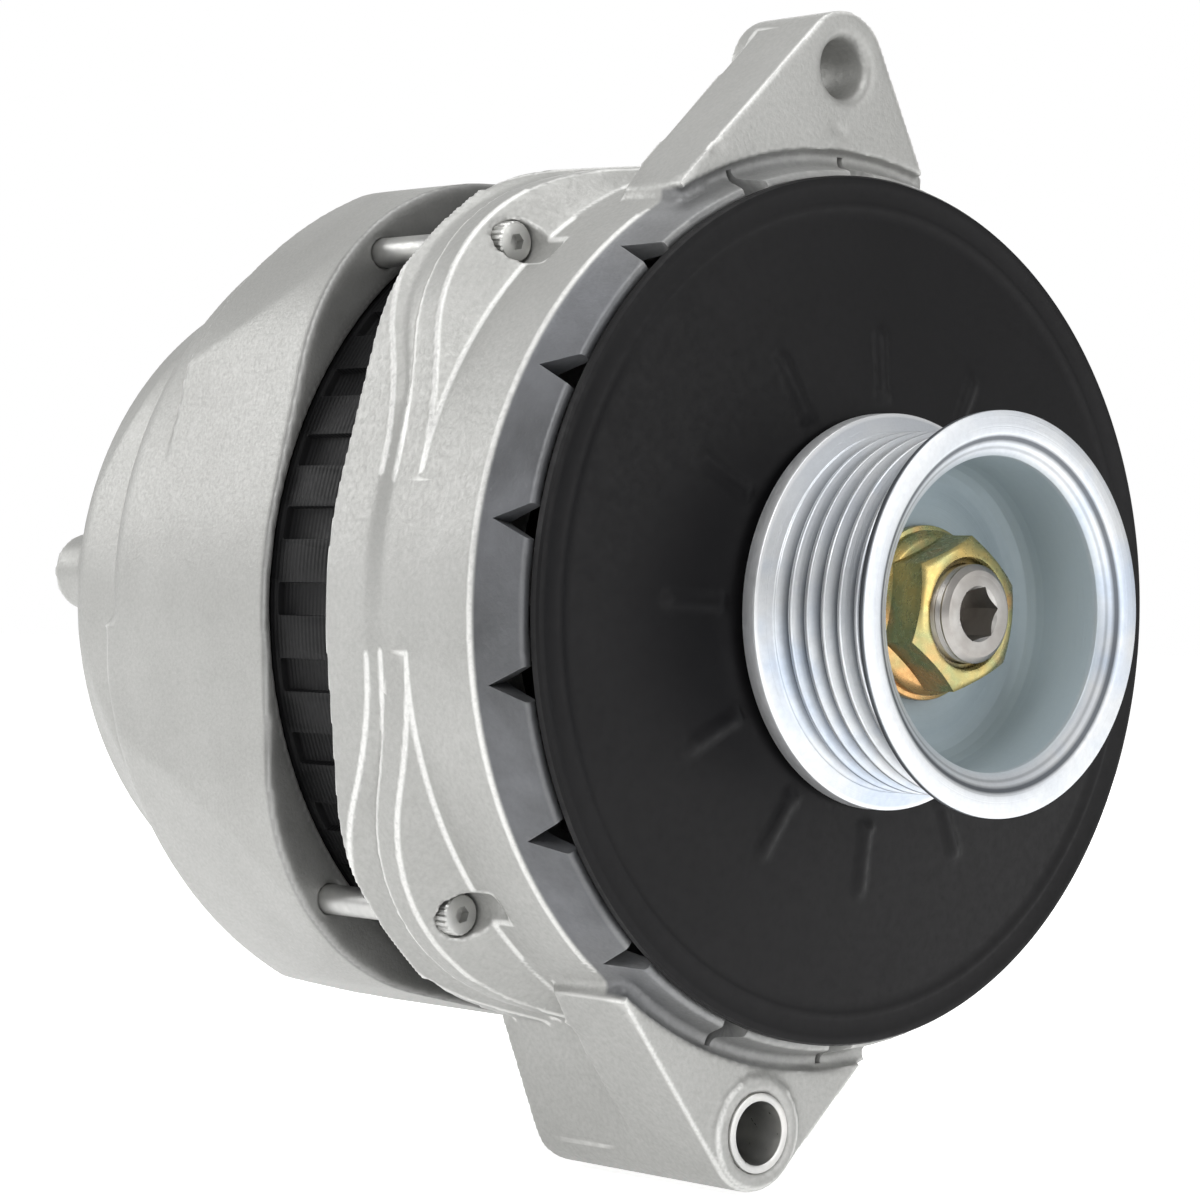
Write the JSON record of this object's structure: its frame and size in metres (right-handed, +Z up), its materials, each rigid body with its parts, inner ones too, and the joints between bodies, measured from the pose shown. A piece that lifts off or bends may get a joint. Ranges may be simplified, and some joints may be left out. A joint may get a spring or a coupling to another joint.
{
  "type": "belt-driven alternator",
  "caption": "Alternator with external black fan, ribbed belt pulley, cast frames with mounting ears, rotor, bearings, brushes and rectifier inside.",
  "frame": {"origin": "on the shaft axis, in the plane of the belt's middle", "axes": "shaft along Y with the pulley facing -Y, +Z up with the upper ear above and the long lower ear below"},
  "size_m": [0.1518, 0.1938, 0.1948],
  "materials": {
    "cast_aluminium": "as-cast, matt, fine grain",
    "fan_black": "satin black coat",
    "zinc_plate": "bright zinc plate, turned",
    "yellow_chromate": "yellow chromate over zinc",
    "shaft_steel": "turned steel",
    "lamination_black": "black varnished steel laminations",
    "enamel_copper": "enamelled copper wire, varnished",
    "bearing_steel": "ground bearing steel",
    "brass_cage": "pressed brass",
    "rotor_iron": "dark varnished forging",
    "slip_copper": "polished copper",
    "carbon": "pressed carbon",
    "black_plastic": "glass-filled moulding",
    "bolt_steel": "zinc-plated bolt",
    "spring_steel": "drawn wire"
  },
  "bodies": {
    "housing": {"drive_end_frame": "cast_aluminium", "slip_ring_end_frame": "cast_aluminium", "stator_core": "lamination_black", "stator_windings": "enamel_copper", "through_bolts": "bolt_steel", "bearing_retainer": "bolt_steel", "retainer_screws": "bolt_steel", "lower_ear_sleeve": "bearing_steel", "front_bearing_outer_ring": "bearing_steel", "rear_bearing_outer_ring": "bearing_steel", "brush_holder": "black_plastic", "brush_spring_front": "spring_steel", "brush_spring_rear": "spring_steel", "positive_heat_sink": "cast_aluminium", "negative_heat_sink": "cast_aluminium", "positive_diodes": "bolt_steel", "negative_diodes": "bolt_steel", "heat_sink_spacers": "black_plastic", "terminal_insulator": "black_plastic", "output_stud": "yellow_chromate", "output_stud_nut": "bolt_steel", "voltage_regulator": "black_plastic", "plug_socket": "black_plastic", "plug_pins": "slip_copper"},
    "rotor": {"rotor_shaft": "shaft_steel", "pulley": "zinc_plate", "pulley_washer": "yellow_chromate", "pulley_nut": "yellow_chromate", "fan_disc": "fan_black", "fan_blades": "fan_black", "fan_collar": "shaft_steel", "front_bearing_inner_ring": "bearing_steel", "rear_bearing_inner_ring": "bearing_steel", "rotor_pole_front": "rotor_iron", "rotor_pole_rear": "rotor_iron", "field_bobbin": "black_plastic", "field_coil": "enamel_copper", "slip_ring_sleeve": "black_plastic", "slip_rings": "slip_copper"},
    "front_ball_set": {"front_bearing_balls": "bearing_steel", "front_bearing_cage": "brass_cage"},
    "rear_ball_set": {"rear_bearing_balls": "bearing_steel", "rear_bearing_cage": "brass_cage"},
    "front_brush": {"brush_front": "carbon"},
    "rear_brush": {"brush_rear": "carbon"}
  },
  "joints": [
    {"name": "rotor_spin", "type": "hinge", "parent": "housing", "child": "rotor", "pos_m": [0, 0, 0], "axis": [0, 1, 0], "continuous": true},
    {"name": "front_ball_set_spin", "type": "hinge", "parent": "housing", "child": "front_ball_set", "pos_m": [0, 0.042, 0], "axis": [0, 1, 0], "continuous": true},
    {"name": "rear_ball_set_spin", "type": "hinge", "parent": "housing", "child": "rear_ball_set", "pos_m": [0, 0.1525, 0], "axis": [0, 1, 0], "continuous": true},
    {"name": "front_brush_slide", "type": "slide", "parent": "housing", "child": "front_brush", "axis": [0, 0, 1], "range_m": [0, 0.004], "stiffness_N_per_m": 150, "springref_m": -0.012, "deforming": ["brush_spring_front"]},
    {"name": "rear_brush_slide", "type": "slide", "parent": "housing", "child": "rear_brush", "axis": [0, 0, 1], "range_m": [0, 0.004], "stiffness_N_per_m": 150, "springref_m": -0.012, "deforming": ["brush_spring_rear"]}
  ],
  "couplings": [
    {"joint": "front_ball_set_spin", "follows": "rotor_spin", "ratio": 0.402},
    {"joint": "rear_ball_set_spin", "follows": "rotor_spin", "ratio": 0.402}
  ]
}
